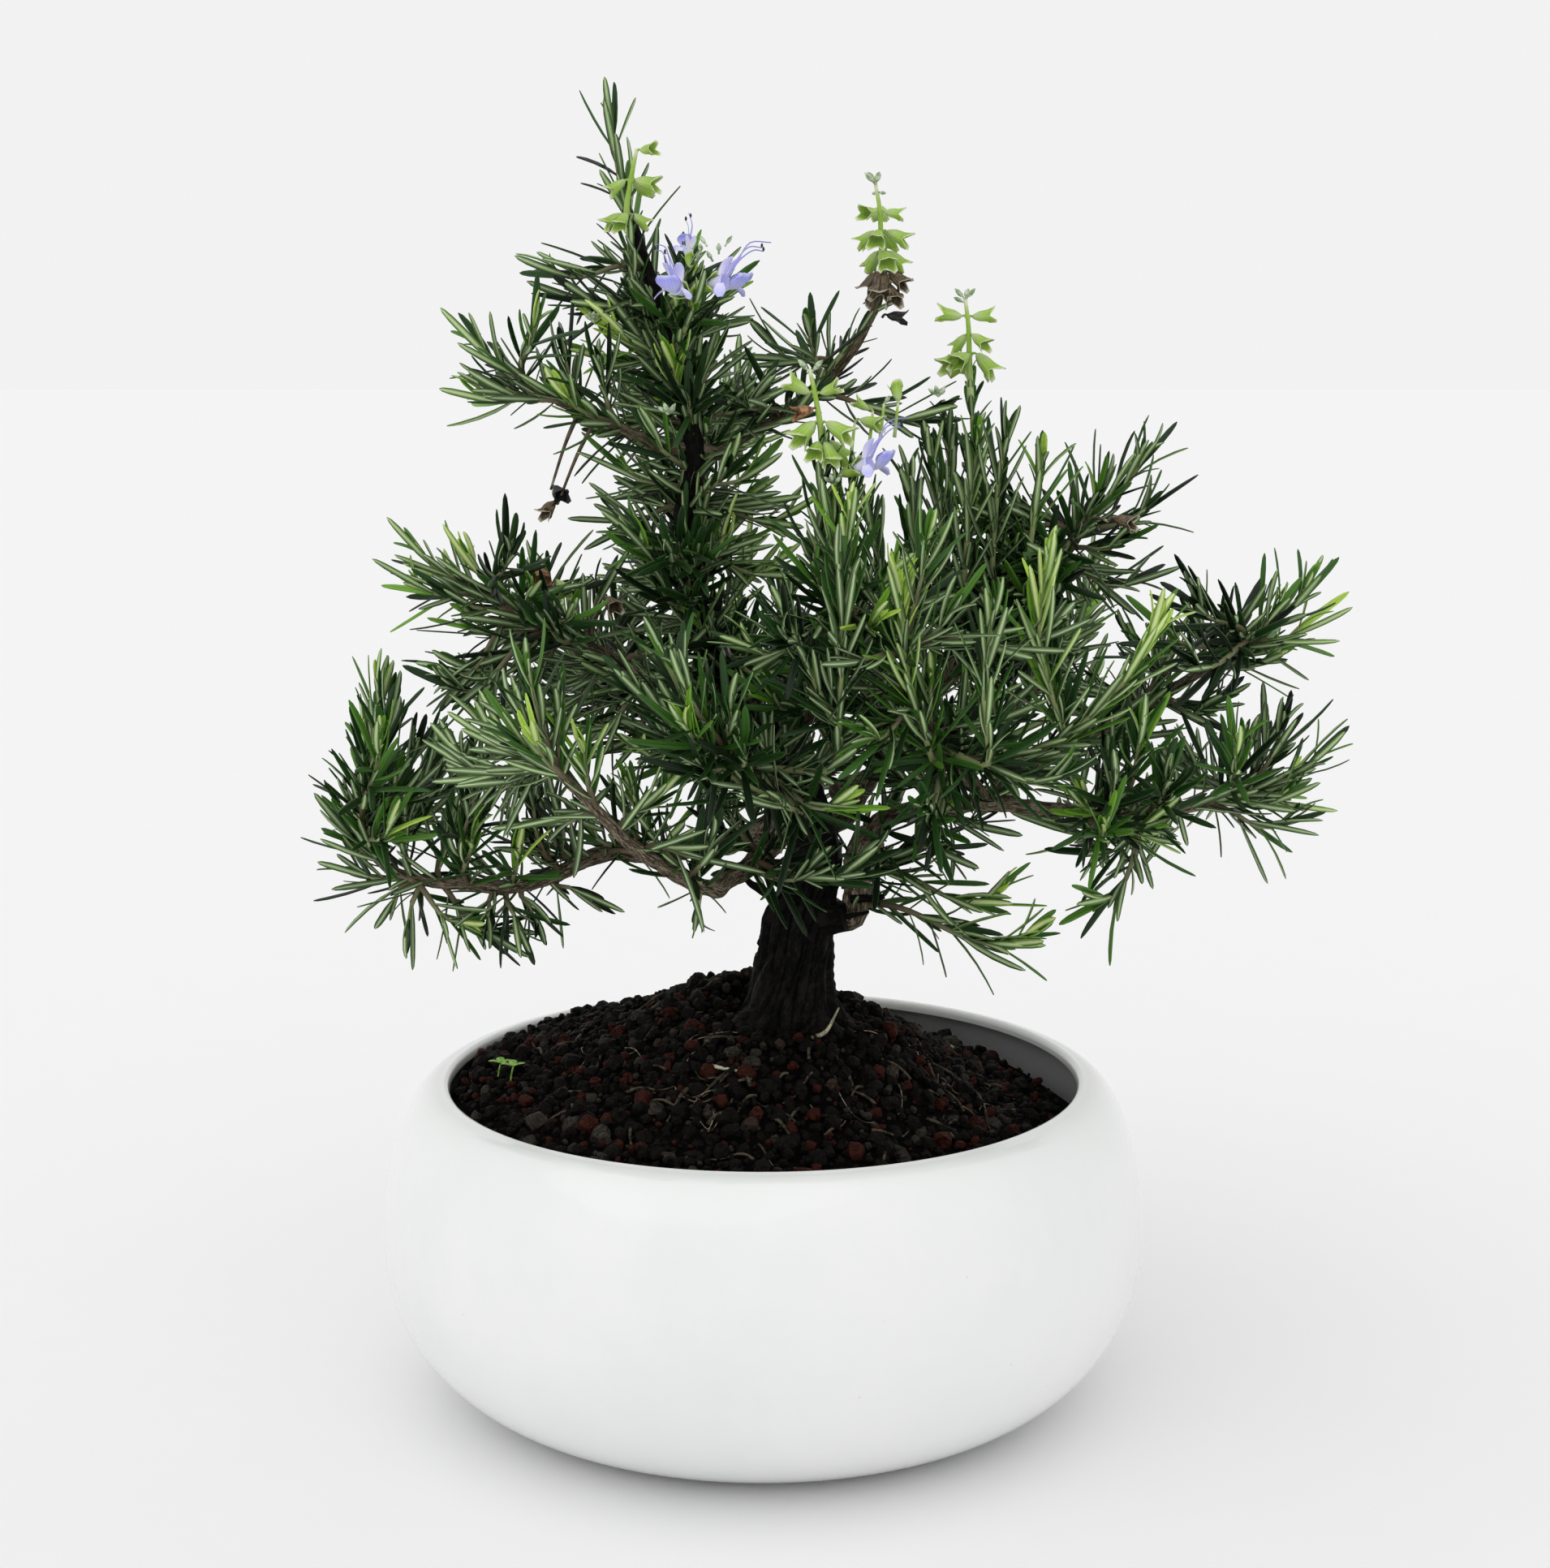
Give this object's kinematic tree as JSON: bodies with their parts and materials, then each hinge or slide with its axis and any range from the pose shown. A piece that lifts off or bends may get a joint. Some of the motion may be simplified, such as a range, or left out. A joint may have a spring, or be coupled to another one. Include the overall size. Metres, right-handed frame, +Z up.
{
  "type": "rosemary bonsai in a bowl",
  "caption": "Small rosemary trained as a bonsai with a dark trunk, spreading leafy branches and a few pale flowers, planted in lava soil in a round white glazed bowl.",
  "frame": {"origin": "centre of the bowl's flat foot, on the surface it stands on", "axes": "+Z up, -Y towards the front of the tree, +X to its right as seen from the front"},
  "size_m": [0.298, 0.22, 0.3761],
  "materials": {
    "glaze": "glossy white glaze, smooth, with a soft sheen",
    "drain_mesh": "black woven plastic mesh",
    "lava": "rough dark brown lava granules with some rust red ones",
    "bark": "nearly black, deeply fissured bark",
    "twig": "grey-brown flaking young bark",
    "leaf": null,
    "calyx": null,
    "petal": null
  },
  "bodies": {
    "root": {"bowl": "glaze", "branch_back": "twig", "branch_back_left": "twig", "branch_back_right": "twig", "branch_front": "twig", "branch_front_left": "twig", "branch_front_right": "twig", "branch_left": "twig", "branch_left_rising": "twig", "branch_middle": "twig", "branch_right": "twig", "branch_right_outer": "twig", "branch_right_rising": "twig", "branch_top_back": "twig", "branch_top_left": "twig", "branch_top_right": "twig", "calyx_spike_left": "calyx", "calyx_spike_middle": "calyx", "calyx_spike_right": "calyx", "calyx_spike_tall": "calyx", "drain_mesh": "drain_mesh", "flower_middle": "petal", "flower_upper_left": "petal", "flower_upper_right": "petal", "leader": "bark", "shoot_back_end": "leaf", "shoot_back_left_end": "leaf", "shoot_back_right_end": "leaf", "shoot_column_back": "leaf", "shoot_column_front": "leaf", "shoot_column_left": "leaf", "shoot_column_right": "leaf", "shoot_crown_back": "leaf", "shoot_crown_front": "leaf", "shoot_crown_left": "leaf", "shoot_crown_right": "leaf", "shoot_front_end": "leaf", "shoot_front_left_end": "leaf", "shoot_front_right_end": "leaf", "shoot_leader_tip": "leaf", "shoot_left_end": "leaf", "shoot_left_inner": "leaf", "shoot_left_low": "leaf", "shoot_left_outer": "leaf", "shoot_left_rising_end": "leaf", "shoot_left_rising_middle": "leaf", "shoot_middle_end": "leaf", "shoot_right_end": "leaf", "shoot_right_front": "leaf", "shoot_right_low": "leaf", "shoot_right_outer_end": "leaf", "shoot_right_outer_middle": "leaf", "shoot_right_rising_end": "leaf", "shoot_right_rising_middle": "leaf", "shoot_top_back_end": "leaf", "shoot_top_left_end": "leaf", "shoot_top_left_rising": "leaf", "shoot_top_right_side": "leaf", "soil": "lava", "trunk": "bark"}
  },
  "joints": []
}
